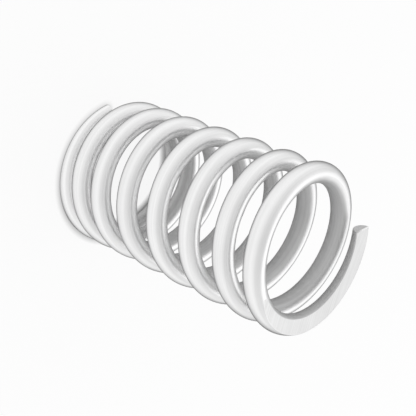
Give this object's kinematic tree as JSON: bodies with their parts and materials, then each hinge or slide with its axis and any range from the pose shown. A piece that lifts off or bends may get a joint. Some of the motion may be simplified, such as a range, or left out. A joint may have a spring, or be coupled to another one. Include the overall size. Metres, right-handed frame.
{
  "type": "valve spring",
  "caption": "Round-wire compression spring, coiled right-handed, drawn in and ground flat at both ends, which pushes an engine valve shut.",
  "frame": {"origin": "middle of the lower ground seat, on the axis of the coil", "axes": "+Z along the axis of the coil, from the tightly coiled lower end to the upper end; +X through the lower tip of the wire"},
  "size_m": [0.032, 0.032, 0.0545],
  "materials": {
    "spring_steel": "pale satin wire with finely ground end faces"
  },
  "bodies": {
    "root": {"valve_spring": "spring_steel"}
  },
  "joints": []
}
